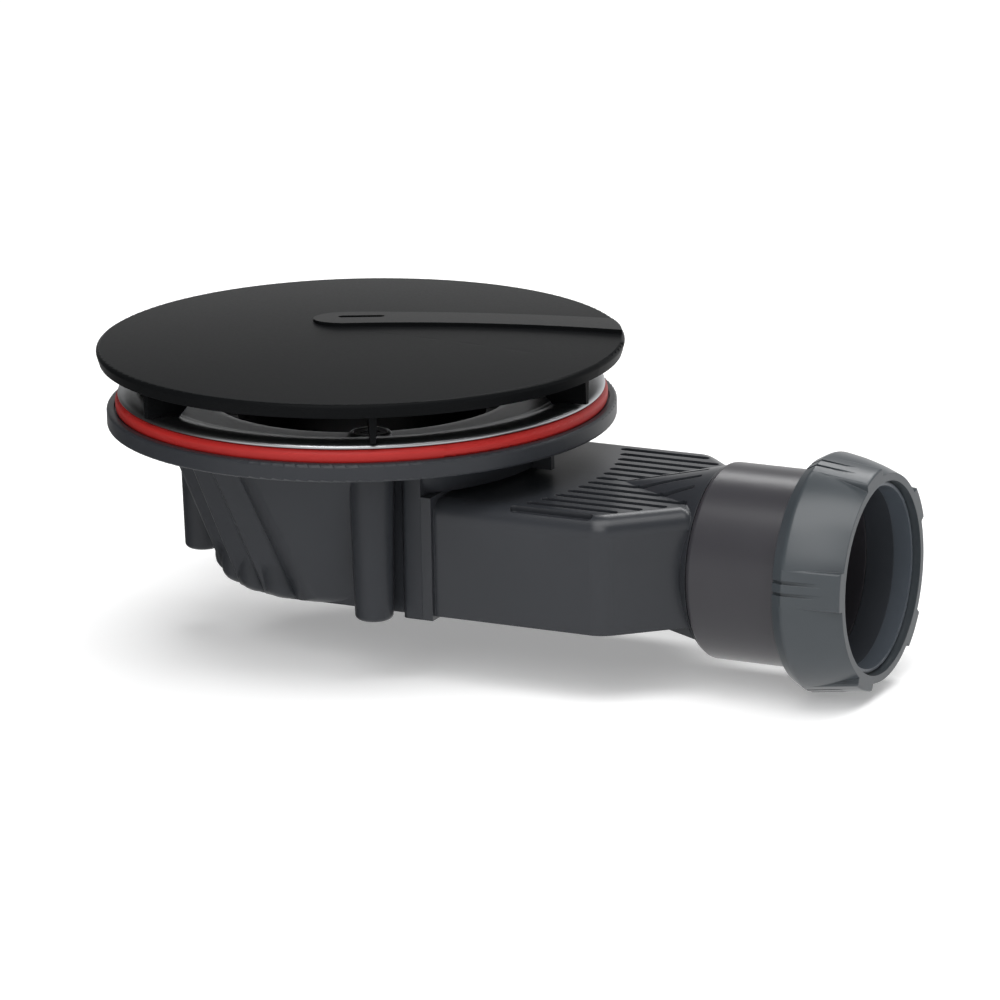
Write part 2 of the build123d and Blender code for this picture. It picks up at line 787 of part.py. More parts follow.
pieces = {
    "cover": make_cover(),
    "top_flange": make_top_flange(),
    "flange_screws": make_screws(),
    "tray_gasket": make_gasket(),
    "trap_body": make_body(),
    "boss_inserts": make_inserts(),
    "outlet_duct": make_outlet_duct(),
    "dip_tube": make_dip_tube(),
    "dip_tube_seal": make_dip_seal(),
    "outlet_socket": make_socket(),
    "pipe_seal": make_pipe_seal(),
    "slip_ring": make_slip_ring(),
    "compression_nut": make_nut(),
}
os.makedirs("parts", exist_ok=True)
for name, piece in pieces.items():
    export_step(piece, f"parts/{name}.step")
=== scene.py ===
"""Looks of a low shower trap: round black cover, steel and rubber tray clamp, grey body and threaded outlet."""
import json
import logging
import math
from dataclasses import dataclass
from enum import Enum
from functools import lru_cache
from typing import Any

import bpy
from mathutils import Matrix, Vector

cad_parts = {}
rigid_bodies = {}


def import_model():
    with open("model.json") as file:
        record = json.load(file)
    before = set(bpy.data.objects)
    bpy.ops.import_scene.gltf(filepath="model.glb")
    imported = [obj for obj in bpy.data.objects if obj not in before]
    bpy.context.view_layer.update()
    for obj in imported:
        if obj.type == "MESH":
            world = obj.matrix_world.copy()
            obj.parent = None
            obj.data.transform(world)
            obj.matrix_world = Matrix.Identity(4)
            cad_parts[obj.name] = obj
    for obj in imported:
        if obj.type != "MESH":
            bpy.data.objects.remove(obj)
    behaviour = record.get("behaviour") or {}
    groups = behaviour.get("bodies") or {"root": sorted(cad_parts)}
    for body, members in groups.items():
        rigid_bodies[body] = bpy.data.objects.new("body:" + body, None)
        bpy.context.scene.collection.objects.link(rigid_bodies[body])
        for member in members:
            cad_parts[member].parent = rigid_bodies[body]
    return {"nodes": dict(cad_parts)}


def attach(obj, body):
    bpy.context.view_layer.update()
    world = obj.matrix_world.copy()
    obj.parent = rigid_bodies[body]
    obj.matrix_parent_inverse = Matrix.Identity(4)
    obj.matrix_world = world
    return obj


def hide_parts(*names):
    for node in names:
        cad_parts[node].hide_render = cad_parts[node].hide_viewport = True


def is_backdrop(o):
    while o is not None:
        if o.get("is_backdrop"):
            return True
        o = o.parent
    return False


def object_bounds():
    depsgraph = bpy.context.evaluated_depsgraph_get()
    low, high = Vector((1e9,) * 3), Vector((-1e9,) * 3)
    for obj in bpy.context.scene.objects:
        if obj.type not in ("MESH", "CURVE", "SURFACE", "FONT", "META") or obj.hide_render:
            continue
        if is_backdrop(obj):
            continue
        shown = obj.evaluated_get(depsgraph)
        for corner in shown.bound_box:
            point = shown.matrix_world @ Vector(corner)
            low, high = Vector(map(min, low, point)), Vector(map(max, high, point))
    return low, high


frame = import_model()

log = logging.getLogger("shower_trap")
MM = 0.001
MERGE_MM = 0.002
# Blender's socket numbers of a Mix node that mixes colours.
MIX_FACTOR, MIX_FIRST, MIX_SECOND, MIX_RESULT = 0, 6, 7, 2


class Shaping(Enum):
    """Ways in which a tool shapes a piece, by Blender's names for them."""

    CUT = "DIFFERENCE"
    JOIN = "UNION"


def linear(colour: str) -> tuple[float, float, float, float]:
    """Turn an sRGB hex colour into linear red, green, blue and alpha.

    Args:
        colour: Six hex digits after a hash sign.

    Returns:
        The linear colour with full alpha.
    """
    parts = [int(colour[i:i + 2], 16) / 255 for i in (1, 3, 5)]
    red, green, blue = (c / 12.92 if c <= 0.04045 else ((c + 0.055) / 1.055) ** 2.4 for c in parts)
    return (red, green, blue, 1.0)


def per_metre(size_mm: float) -> float:
    """Find the texture scale for features of a real size.

    Args:
        size_mm: Size of a feature in millimetres.

    Returns:
        The number of features in a metre.
    """
    return 1 / (size_mm * MM)


def polar(reach: float, turn: float, z: float) -> Vector:
    """Find a point from its distance and direction round the Z axis.

    Args:
        reach: Distance from the axis.
        turn: Direction in radians.
        z: Height, in the same unit as the distance.

    Returns:
        The point.
    """
    return Vector((reach * math.cos(turn), reach * math.sin(turn), z))


def add_node(
    tree: bpy.types.NodeTree, kind: str, values: dict[Any, Any], links: dict[Any, Any]
) -> bpy.types.Node:
    """Add one shader node, set its values and link its inputs.

    Args:
        tree: The material's node tree.
        kind: Blender's name for the node's type.
        values: Settings by property name, or input values by socket name or number.
        links: Output sockets by the name or number of the input that they feed.

    Returns:
        The new node.
    """
    node = tree.nodes.new(kind)
    for name, value in values.items():
        if isinstance(name, str) and hasattr(node, name):
            setattr(node, name, value)
        else:
            node.inputs[name].default_value = value
    for name, socket in links.items():
        tree.links.new(socket, node.inputs[name])
    return node


def new_tree(name: str) -> tuple[bpy.types.Material, bpy.types.NodeTree]:
    """Start an empty node material.

    Args:
        name: The material's name.

    Returns:
        The material and its node tree.
    """
    material = bpy.data.materials.new(name)
    material.use_nodes = True
    material.node_tree.nodes.clear()
    return material, material.node_tree


def add_noise(
    tree: bpy.types.NodeTree, place: bpy.types.NodeSocket, size_mm: float, detail: float
) -> bpy.types.NodeSocket:
    """Add a noise pattern.

    Args:
        tree: The material's node tree.
        place: Socket that gives the place on the piece.
        size_mm: Size of the pattern's features in millimetres.
        detail: Blender's measure of finer noise within the pattern.

    Returns:
        The socket that gives the pattern's value.
    """
    values = {"Scale": per_metre(size_mm), "Detail": detail}
    return add_node(tree, "ShaderNodeTexNoise", values, {"Vector": place}).outputs["Fac"]


@dataclass(frozen=True)
class MouldedPlastic:
    """Injection-moulded plastic or rubber with the fine spark texture of its mould.

    The real grain is finer than a pixel of the picture, so it is drawn coarser here.
    """

    name: str
    colour: str
    pale: str
    roughness: float
    specular: float = 0.35
    ior: float = 1.5
    grain_mm: float = 0.7
    grain_detail: float = 2.0
    grain_range: tuple[float, float] = (0.3, 0.7)
    grain_depth_mm: float = 0.0015
    gloss_swing: float = 0.012
    flow_mm: float = 24.0
    flow_detail: float = 3.0
    edge_mm: float = 0.25
    edge_samples: int = 4

    def material(self) -> bpy.types.Material:
        """Build the material: an even shade with faint flow clouds, a fine grain and softly rounded edges.

        Returns:
            The material.
        """
        material, tree = new_tree(self.name)
        place = add_node(tree, "ShaderNodeTexCoord", {}, {}).outputs["Object"]
        colour = add_node(
            tree, "ShaderNodeMix",
            {"data_type": "RGBA", MIX_FIRST: linear(self.colour), MIX_SECOND: linear(self.pale)},
            {MIX_FACTOR: add_noise(tree, place, self.flow_mm, self.flow_detail)},
        )
        grain = add_noise(tree, place, self.grain_mm, self.grain_detail)
        grain_low, grain_high = self.grain_range
        gloss = add_node(
            tree, "ShaderNodeMapRange",
            {
                "From Min": grain_low, "From Max": grain_high,
                "To Min": self.roughness - self.gloss_swing, "To Max": self.roughness + self.gloss_swing,
            },
            {"Value": grain},
        )
        edge = add_node(
            tree, "ShaderNodeBevel", {"samples": self.edge_samples, "Radius": self.edge_mm * MM}, {}
        )
        bump = add_node(
            tree, "ShaderNodeBump", {"Strength": 1.0, "Distance": self.grain_depth_mm * MM},
            {"Height": grain, "Normal": edge.outputs[0]},
        )
        shader = add_node(
            tree, "ShaderNodeBsdfPrincipled", {"IOR": self.ior, "Specular IOR Level": self.specular},
            {"Base Color": colour.outputs[MIX_RESULT], "Roughness": gloss.outputs[0], "Normal": bump.outputs[0]},
        )
        add_node(tree, "ShaderNodeOutputMaterial", {}, {"Surface": shader.outputs[0]})
        return material


@dataclass(frozen=True)
class BrightMetal:
    """Metal that was pressed or turned and then smoothed."""

    name: str
    colour: str
    roughness: float
    wave_mm: float
    wave_depth_mm: float
    wave_detail: float = 1.0
    haze_mm: float = 1.5
    haze_detail: float = 4.0
    haze_range: tuple[float, float] = (0.35, 0.65)
    gloss_below: float = 0.015
    gloss_above: float = 0.02

    def material(self) -> bpy.types.Material:
        """Build the material: a blurred mirror with slight waves and a breath of haze.

        Returns:
            The material.
        """
        material, tree = new_tree(self.name)
        place = add_node(tree, "ShaderNodeTexCoord", {}, {}).outputs["Object"]
        wave = add_noise(tree, place, self.wave_mm, self.wave_detail)
        haze = add_noise(tree, place, self.haze_mm, self.haze_detail)
        haze_low, haze_high = self.haze_range
        gloss = add_node(
            tree, "ShaderNodeMapRange",
            {
                "From Min": haze_low, "From Max": haze_high,
                "To Min": self.roughness - self.gloss_below, "To Max": self.roughness + self.gloss_above,
            },
            {"Value": haze},
        )
        bump = add_node(
            tree, "ShaderNodeBump", {"Strength": 1.0, "Distance": self.wave_depth_mm * MM}, {"Height": wave}
        )
        shader = add_node(
            tree, "ShaderNodeBsdfPrincipled", {"Base Color": linear(self.colour), "Metallic": 1.0},
            {"Roughness": gloss.outputs[0], "Normal": bump.outputs[0]},
        )
        add_node(tree, "ShaderNodeOutputMaterial", {}, {"Surface": shader.outputs[0]})
        return material


class Finish(Enum):
    """Finishes of the trap's pieces.

    The plastics keep a roughness of 0.3 or more: just below that, they render with dark specks.
    """

    # Nearly black and matte, a little paler towards the far edge.
    COVER_ABS = MouldedPlastic("matte_black_ABS", "#0f1011", "#131415", 0.34, specular=0.022)
    # Charcoal with a blue cast and a dull sheen.
    BODY_PP = MouldedPlastic("spark_textured_polypropylene", "#2b2d31", "#313337", 0.36, specular=0.24)
    # The same charcoal, a little shinier.
    DUCT_PP = MouldedPlastic("dark_grey_polypropylene", "#2a2c30", "#303236", 0.3, specular=0.36)
    # A warmer and slightly paler grey than the duct's, with a soft light along the top.
    SOCKET_PP = MouldedPlastic("warm_grey_polypropylene", "#302f33", "#363539", 0.31, specular=0.42)
    # Mid grey with a cool cast, the palest of the large pieces.
    NUT_PP = MouldedPlastic("mid_grey_polypropylene", "#383d41", "#3f4448", 0.31, specular=0.45)
    # Paler again, a light ring inside the nut's mouth.
    RING_PP = MouldedPlastic("pale_grey_polypropylene", "#4a5057", "#52585f", 0.3, specular=0.45)
    # Black and dull, hardly seen in the gap below the cover.
    INNER_PP = MouldedPlastic("black_polypropylene", "#1a1b1d", "#202123", 0.4)
    # Strong red with a soft sheen.
    SILICONE = MouldedPlastic("red_silicone_rubber", "#a81e1c", "#b42622", 0.5)
    # Black, dull rubber that is hidden inside the trap.
    SEAL = MouldedPlastic("black_EPDM_rubber", "#161616", "#1e1e1e", 0.6)
    # Soft dark grey, deep in the nut's mouth.
    PIPE_SEAL = MouldedPlastic("grey_thermoplastic_rubber", "#33363b", "#3a3d42", 0.42)
    # Yellow and bright, hidden in the bosses.
    BRASS = BrightMetal("turned_brass", "#b8913f", 0.25, 4.0, 0.004)
    # Grey, with soft light and dark bands that follow the lip and the dish.
    STEEL = BrightMetal("satin_stainless_steel", "#b4b6b8", 0.32, 14.0, 0.02)
    # Clearer than the flange round it.
    SCREW = BrightMetal("bright_stainless_screw", "#b4b5b7", 0.16, 3.0, 0.004)


@lru_cache(maxsize=None)
def material_of(finish: Finish) -> bpy.types.Material:
    """Make a finish's material once and hand out the same one afterwards.

    Args:
        finish: The finish.

    Returns:
        Its material.
    """
    return finish.value.material()


def dress(piece: bpy.types.Object, finish: Finish) -> None:
    """Give a piece one finish and report it.

    Args:
        piece: The piece's object.
        finish: The finish that covers it.
    """
    piece.data.materials.clear()
    piece.data.materials.append(material_of(finish))
    log.info("%s: %s", piece.name, finish.value.name)


@dataclass
class Camera:
    """Camera at the photograph's view."""

    lens_mm: float = 216.0
    sensor_mm: float = 36.0
    clip_m: tuple[float, float] = (0.01, 20.0)
    place_mm: tuple[float, float, float] = (614.68, -1169.57, 339.39)
    yaw_deg: float = 26.38
    pitch_deg: float = 15.51
    roll_deg: float = -1.0

    def build(self) -> None:
        """Add the camera and make it the scene's own."""
        yaw, pitch, roll = (math.radians(a) for a in (self.yaw_deg, self.pitch_deg, self.roll_deg))
        right = Vector((math.cos(yaw), math.sin(yaw), 0))
        level_back = Vector((math.sin(yaw), -math.cos(yaw), 0))
        back = level_back * math.cos(pitch) + Vector((0, 0, math.sin(pitch)))
        up = Vector((0, 0, math.cos(pitch))) - level_back * math.sin(pitch)
        turned_right = right * math.cos(roll) + up * math.sin(roll)
        turned_up = up * math.cos(roll) - right * math.sin(roll)
        data = bpy.data.cameras.new("photo_camera")
        data.lens = self.lens_mm
        data.sensor_width = self.sensor_mm
        data.clip_start, data.clip_end = self.clip_m
        camera = bpy.data.objects.new("photo_camera", data)
        turn = Matrix((turned_right, turned_up, back)).transposed().to_4x4()
        camera.matrix_world = Matrix.Translation(Vector(self.place_mm) * MM) @ turn
        bpy.context.scene.collection.objects.link(camera)
        bpy.context.scene.camera = camera


@dataclass(frozen=True)
class Softbox:
    """Rectangular studio lamp aimed at the trap, in metres and watts."""

    name: str
    place: tuple[float, float, float]
    size: tuple[float, float]
    power: float
    aim: tuple[float, float, float] = (0.03, 0.0, -0.02)

    def build(self) -> None:
        """Add the lamp to the scene."""
        data = bpy.data.lights.new(self.name, "AREA")
        data.shape = "RECTANGLE"
        data.size, data.size_y = self.size
        data.energy = self.power
        lamp = bpy.data.objects.new(self.name, data)
        lamp.location = self.place
        lamp.rotation_mode = "QUATERNION"
        lamp.rotation_quaternion = (Vector(self.aim) - Vector(self.place)).to_track_quat("-Z", "Y")
        bpy.context.scene.collection.objects.link(lamp)


@dataclass
class Studio:
    """Pale floor, soft sky and lamps, in metres."""

    floor_side: float = 8.0
    floor_gap: float = 0.0002
    floor_colour: str = "#f6f6f6"
    floor_roughness: float = 0.9
    floor_glow: float = 0.25
    glow_colour: str = "#ffffff"
    horizon_strength: float = 0.95
    zenith_strength: float = 0.12
    horizon_height: float = 0.10
    zenith_height: float = 0.50
    dark_side: tuple[float, float, float] = (-1.0, 0.0, 0.0)
    flag_range: tuple[float, float] = (0.35, 0.95)
    flag_share: float = 0.04
    lamps: tuple[Softbox, ...] = (
        Softbox("front_softbox", (0.25, -1.00, 0.85), (0.9, 0.8), 6.5),
        Softbox("top_softbox", (0.20, -0.30, 1.15), (1.2, 0.7), 11.0),
        Softbox("back_softbox", (0.08, 0.80, 0.92), (1.4, 0.28), 9.0),
    )

    def build_floor(self, floor_z: float) -> None:
        """Lay the floor below the trap.

        Args:
            floor_z: Height of the floor in metres.
        """
        deselect_all()
        bpy.ops.mesh.primitive_plane_add(size=self.floor_side, location=(0, 0, floor_z))
        floor = bpy.context.object
        floor.name = "floor"
        # White, with a faint glow that keeps it even.
        material, tree = new_tree("pale_floor")
        shader = add_node(
            tree, "ShaderNodeBsdfPrincipled",
            {
                "Base Color": linear(self.floor_colour), "Roughness": self.floor_roughness,
                "Emission Color": linear(self.glow_colour), "Emission Strength": self.floor_glow,
            },
            {},
        )
        add_node(tree, "ShaderNodeOutputMaterial", {}, {"Surface": shader.outputs[0]})
        floor.data.materials.append(material)
        # Reflections leave the floor out and show the sky's lower half, which is dark on the left.
        floor.visible_glossy = False
        floor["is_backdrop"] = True

    def build_sky(self) -> None:
        """Add a sky that is bright near the floor, dim overhead and dark on the left."""
        world = bpy.data.worlds.new("studio")
        world.use_nodes = True
        tree = world.node_tree
        tree.nodes.clear()
        direction = add_node(tree, "ShaderNodeTexCoord", {}, {}).outputs["Generated"]
        height = add_node(tree, "ShaderNodeSeparateXYZ", {}, {0: direction}).outputs["Z"]
        strength = add_node(
            tree, "ShaderNodeMapRange",
            {
                "interpolation_type": "SMOOTHSTEP",
                "From Min": self.horizon_height, "From Max": self.zenith_height,
                "To Min": self.horizon_strength, "To Max": self.zenith_strength,
            },
            {"Value": height},
        )
        side = add_node(
            tree, "ShaderNodeVectorMath", {"operation": "DOT_PRODUCT", 1: self.dark_side}, {0: direction}
        )
        flag_start, flag_end = self.flag_range
        flag = add_node(
            tree, "ShaderNodeMapRange",
            {
                "interpolation_type": "SMOOTHSTEP",
                "From Min": flag_start, "From Max": flag_end,
                "To Min": 1.0, "To Max": self.flag_share,
            },
            {"Value": side.outputs["Value"]},
        )
        flagged = add_node(
            tree, "ShaderNodeMath", {"operation": "MULTIPLY"}, {0: strength.outputs[0], 1: flag.outputs[0]}
        )
        sky = add_node(tree, "ShaderNodeBackground", {"Color": (1, 1, 1, 1)}, {"Strength": flagged.outputs[0]})
        add_node(tree, "ShaderNodeOutputWorld", {}, {"Surface": sky.outputs[0]})
        bpy.context.scene.world = world
        bpy.context.scene.view_settings.view_transform = "Standard"

    def build(self, lowest_z: float) -> None:
        """Set up the whole studio.

        Args:
            lowest_z: Height of the trap's lowest point in metres.
        """
        self.build_floor(lowest_z - self.floor_gap)
        self.build_sky()
        for lamp in self.lamps:
            lamp.build()


def deselect_all() -> None:
    """Leave nothing selected, so that the next operator acts on its own piece alone."""
    bpy.ops.object.select_all(action="DESELECT")


def take(piece: bpy.types.Object) -> None:
    """Make a piece the only selected and the active one.

    Args:
        piece: The piece.
    """
    deselect_all()
    piece.select_set(True)
    bpy.context.view_layer.objects.active = piece


def finish_mesh(piece: bpy.types.Object) -> None:
    """Merge the doubles of the piece in edit mode, turn its faces outwards and leave edit mode.

    Args:
        piece: The active piece.
    """
    bpy.ops.mesh.select_all(action="SELECT")
    bpy.ops.mesh.remove_doubles(threshold=MERGE_MM * MM)
    bpy.ops.mesh.normals_make_consistent(inside=False)
    bpy.ops.object.mode_set(mode="OBJECT")
    log.info("%s: %d faces", piece.name, len(piece.data.polygons))


def turned(name: str, outline: tuple[tuple[float, float], ...], sides: int) -> bpy.types.Object:
    """Turn a closed outline round the Z axis, ring by ring from a circle.

    Args:
        name: The piece's name.
        outline: Radius and height in millimetres of each corner, once round the section.
        sides: Number of sides of each ring.

    Returns:
        The piece, with its place in its mesh.
    """
    deselect_all()
    last_r, last_z = outline[0]
    bpy.ops.mesh.primitive_circle_add(vertices=sides, radius=last_r * MM, location=(0, 0, last_z * MM))
    piece = bpy.context.object
    piece.name = name
    bpy.ops.object.transform_apply(location=True, rotation=True, scale=True)
    bpy.ops.object.mode_set(mode="EDIT")
    bpy.ops.mesh.select_mode(type="EDGE")
    bpy.ops.mesh.select_all(action="SELECT")
    for r, z in outline[1:]:
        bpy.ops.mesh.extrude_region_move(TRANSFORM_OT_translate={"value": (0, 0, (z - last_z) * MM)})
        bpy.ops.transform.resize(value=(r / last_r, r / last_r, 1), center_override=(0, 0, 0))
        last_r, last_z = r, z
    bpy.ops.mesh.select_all(action="DESELECT")
    bpy.ops.mesh.select_non_manifold()
    bpy.ops.mesh.bridge_edge_loops()
    finish_mesh(piece)
    return piece


def shape(piece: bpy.types.Object, tool: bpy.types.Object, shaping: Shaping) -> None:
    """Cut a tool out of a piece or join it on, and remove the tool.

    Args:
        piece: The piece that is changed.
        tool: The shape that is cut out or joined on.
        shaping: Whether it is cut or joined.
    """
    take(piece)
    boolean = piece.modifiers.new("shape", "BOOLEAN")
    boolean.operation = shaping.value
    boolean.solver = "EXACT"
    boolean.object = tool
    bpy.ops.object.modifier_apply(modifier=boolean.name)
    bpy.data.objects.remove(tool, do_unlink=True)


def smooth(piece: bpy.types.Object, angle_deg: float) -> None:
    """Shade a piece smoothly up to an angle, with large faces ruling the normals.

    Args:
        piece: The piece to shade.
        angle_deg: Steepest edge in degrees that is still shaded smoothly.
    """
    take(piece)
    bpy.ops.object.shade_smooth_by_angle(angle=math.radians(angle_deg), keep_sharp_edges=False)
    weighted = piece.modifiers.new("normals", "WEIGHTED_NORMAL")
    weighted.keep_sharp = True
    bpy.ops.object.modifier_apply(modifier=weighted.name)


@dataclass
class TrayClamp:
    """Pressed steel flange, its screws and the rubber ring below it, in millimetres."""

    sides: int = 240
    smooth_deg: float = 35.0
    screw_circle_r: float = 42.3
    screw_angles: tuple[float, ...] = (180.0, 300.0, 60.0)
    outline: tuple[tuple[float, float], ...] = (
        (55.10, 0.12), (55.34, 0.30), (55.40, 0.52), (55.30, 0.80), (55.02, 1.08), (54.54, 1.32), (53.86, 1.51),
        (53.00, 1.64), (52.00, 1.69), (51.00, 1.62), (50.10, 1.40), (49.30, 1.12), (48.50, 0.92), (47.70, 0.83),
        (47.00, 0.79), (46.60, 0.68), (46.25, 0.44), (45.85, -0.04), (45.45, -0.50), (45.05, -0.78),
        (44.50, -0.92), (43.70, -0.97), (40.00, -1.12), (36.20, -1.27), (35.00, -1.34), (34.20, -1.50),
        (33.62, -1.84), (33.30, -2.32), (33.20, -2.80), (33.20, -3.00),
        (34.00, -3.00), (34.00, -2.60), (34.30, -2.20), (35.00, -2.06), (40.00, -1.92), (44.60, -1.74),
        (45.60, -1.20), (46.40, -0.30), (46.90, 0.00), (54.00, 0.10),
    )
    seat: tuple[tuple[float, float], ...] = (
        (5.60, -1.30), (5.30, -0.80), (4.95, -0.10), (4.75, 0.40), (4.50, 0.68), (4.15, 0.80), (3.80, 0.80),
        (2.75, -0.28), (2.70, -1.20), (2.70, -2.40), (5.60, -2.40),
    )
    seat_room: tuple[tuple[float, float], ...] = (
        (0.01, -2.40), (5.20, -2.40), (5.20, -0.60), (4.60, 0.30), (0.01, 0.30),
    )
    seat_sides: int = 64

    def build_flange(self) -> bpy.types.Object:
        """Turn the flange and press its screw seats.

        Returns:
            The finished flange.
        """
        flange = turned("pressed_flange", self.outline, self.sides)
        for index, angle in enumerate(self.screw_angles):
            place = polar(1, math.radians(angle), 0) * self.screw_circle_r * MM
            for outline, shaping in ((self.seat_room, Shaping.CUT), (self.seat, Shaping.JOIN)):
                tool = turned(f"seat_{index}", outline, self.seat_sides)
                tool.location = place
                bpy.ops.object.transform_apply(location=True, rotation=True, scale=True)
                shape(flange, tool, shaping)
        smooth(flange, self.smooth_deg)
        return flange

    def build(self) -> None:
        """Build the flange and dress the clamp."""
        flange = self.build_flange()
        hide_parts("top_flange")
        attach(flange, "trap")
        dress(flange, Finish.STEEL)
        dress(frame["nodes"]["flange_screws"], Finish.SCREW)
        dress(frame["nodes"]["tray_gasket"], Finish.SILICONE)


@dataclass
class Body:
    """Moulded body with a louvred bowl, the duct welded to it, and the dip tube inside, in millimetres."""

    top_z: float = -6.7
    bottom_z: float = -42.2
    top_r: float = 45.7
    bottom_r: float = 32.8
    louvre_count: int = 5
    top_angle: float = 102.0
    top_step: float = 11.0
    bottom_angle: float = 86.9
    bottom_step: float = 16.8
    depth: float = 2.3
    shoulder_l: float = 3.2
    ease_l: float = 4.2
    ease_power: float = 1.7
    ramp_parts: tuple[float, ...] = (0.05, 0.3)
    clear: float = 0.15
    rows: int = 16
    columns: int = 14
    corner_r: float = 4.0
    corner_l: float = 2.8
    lobe_h: float = 2.7
    lobe_sink: float = 0.25
    lobe_skew: float = 0.8
    lobe_power: float = 0.6
    lobe_heights: tuple[float, ...] = (
        0.12, 0.35, 0.7, 1.2, 1.8, 2.6, 4.0, 6.5, 9.5, 13.0, 16.5, 20.0, 23.5, 27.0, 30.5, 33.5, 36.0,
    )
    lobe_back: float = 0.952
    cut_back: float = 1.16
    cut_overrun: float = 0.8
    smooth_deg: float = 30.0

    def ridge_and_root(self, index: int, share: float) -> tuple[Vector, Vector]:
        """Find a louvre's ridge and root at one height.

        Args:
            index: Number of the louvre, counted from the front.
            share: Height as a share of the bowl's side, from its floor.

        Returns:
            The points in millimetres where the shoulder starts and where it ends.
        """
        ends = []
        for z, r, first, step in (
            (self.bottom_z, self.bottom_r, self.bottom_angle, self.bottom_step),
            (self.top_z, self.top_r, self.top_angle, self.top_step),
        ):
            ridge_turn = -math.radians(first + step * index)
            root_turn = ridge_turn - self.shoulder_l / r
            ends.append((polar(r, ridge_turn, z), polar(r - self.depth, root_turn, z)))
        (low_ridge, low_root), (high_ridge, high_root) = ends
        return low_ridge.lerp(high_ridge, share), low_root.lerp(high_root, share)

    def shoulder_row(self, share: float) -> list[Vector]:
        """List one level line of the rounded shoulder before the first louvre.

        Args:
            share: Height as a share of the bowl's side, from its floor.

        Returns:
            Points in millimetres, from the plain bowl into the first louvre.
        """
        r = self.bottom_r + (self.top_r - self.bottom_r) * share
        ridge, root = self.ridge_and_root(0, share)
        following, _ = self.ridge_and_root(1, share)
        root_turn = math.atan2(root.y, root.x)
        start_turn = math.atan2(ridge.y, ridge.x) + self.ease_l / r
        points = []
        for column in range(self.columns + 1):
            part = column / self.columns
            turn = start_turn + (root_turn - start_turn) * part
            reach = r + self.clear * (column == 0) - (r - root.xy.length) * part ** self.ease_power
            points.append(polar(reach, turn, root.z))
        for part in self.ramp_parts:
            ramp = root.lerp(following, part)
            ramp.xy *= 1 + self.clear / ramp.xy.length
            points.append(ramp)
        return points

    def corner_inset(self, height: float) -> float:
        """Find how far the rounded corner at the bowl's floor lies inside its cone.

        Args:
            height: Height above the bowl's floor in millimetres.

        Returns:
            The distance in millimetres, none above the corner.
        """
        slope = (self.top_r - self.bottom_r) / (self.top_z - self.bottom_z)
        rise = max(0.0, self.corner_r - height)
        return max(0.0, slope * height + self.corner_l - math.sqrt(self.corner_r ** 2 - rise ** 2))

    def lobe_rise(self, part: float, is_last: bool) -> float:
        """Find how far a louvre's back stands above its base.

        Args:
            part: Place across the louvre, from 0 to 1.
            is_last: Whether it is the rear louvre, which runs out into the plain bowl.

        Returns:
            The height in millimetres.
        """
        if is_last:
            swell = math.sin(math.pi / 2 * part)
            return (self.depth + self.lobe_sink) * swell ** self.lobe_power - self.clear
        swell = max(0.0, math.sin(math.pi * part ** self.lobe_skew))
        return (self.lobe_h + self.lobe_sink) * swell ** self.lobe_power

    def lobe_row(self, height: float) -> list[Vector]:
        """List one level line of the louvres' rounded backs.

        Args:
            height: Height above the bowl's floor in millimetres.

        Returns:
            Points in millimetres, from the front louvre to the rear one.
        """
        share = height / (self.top_z - self.bottom_z)
        points = []
        for index in range(self.louvre_count):
            _, root = self.ridge_and_root(index, share)
            ridge, next_root = self.ridge_and_root(index + 1, share)
            is_last = index == self.louvre_count - 1
            end = ridge if is_last else next_root
            start_turn = math.atan2(root.y, root.x)
            end_turn = math.atan2(end.y, end.x)
            base = root.xy.length - self.lobe_sink - self.corner_inset(height)
            for column in range(0 if index == 0 else 1, self.columns + 1):
                part = (1 - math.cos(math.pi * column / self.columns)) / 2
                turn = start_turn + (end_turn - start_turn) * part
                points.append(polar(base + self.lobe_rise(part, is_last), turn, root.z))
        return points

    def skin(self, name: str, lines: list[list[Vector]], back: float, mirrored: bool) -> bpy.types.Object:
        """Model a thick skin over level lines.

        Args:
            name: The piece's name.
            lines: Points in millimetres of each level line, from the lowest up.
            back: Share of the distance from the axis at which the skin's other face lies.
            mirrored: Whether the skin is for the far side.

        Returns:
            The skin.
        """
        deselect_all()
        bpy.ops.mesh.primitive_grid_add(
            x_subdivisions=len(lines[0]) - 1, y_subdivisions=len(lines) - 1, size=1
        )
        piece = bpy.context.object
        piece.name = name
        side = -1 if mirrored else 1
        for vertex, point in zip(piece.data.vertices, [point for line in lines for point in line]):
            vertex.co = (point.x * MM, point.y * side * MM, point.z * MM)
        bpy.ops.object.mode_set(mode="EDIT")
        bpy.ops.mesh.select_all(action="SELECT")
        bpy.ops.mesh.extrude_region_move()
        bpy.ops.transform.resize(value=(back, back, 1), center_override=(0, 0, 0))
        finish_mesh(piece)
        return piece

    def copy_moulding(self) -> bpy.types.Object:
        """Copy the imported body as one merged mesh.

        Returns:
            The copy, with its place in its mesh.
        """
        take(frame["nodes"]["trap_body"])
        bpy.ops.object.duplicate(linked=False)
        moulding = bpy.context.object
        moulding.name = "louvred_body"
        bpy.ops.object.parent_clear(type="CLEAR_KEEP_TRANSFORM")
        bpy.ops.object.transform_apply(location=True, rotation=True, scale=True)
        bpy.ops.mesh.customdata_custom_splitnormals_clear()
        bpy.ops.object.mode_set(mode="EDIT")
        bpy.ops.mesh.select_all(action="SELECT")
        bpy.ops.mesh.remove_doubles(threshold=MERGE_MM * MM)
        bpy.ops.object.mode_set(mode="OBJECT")
        return moulding

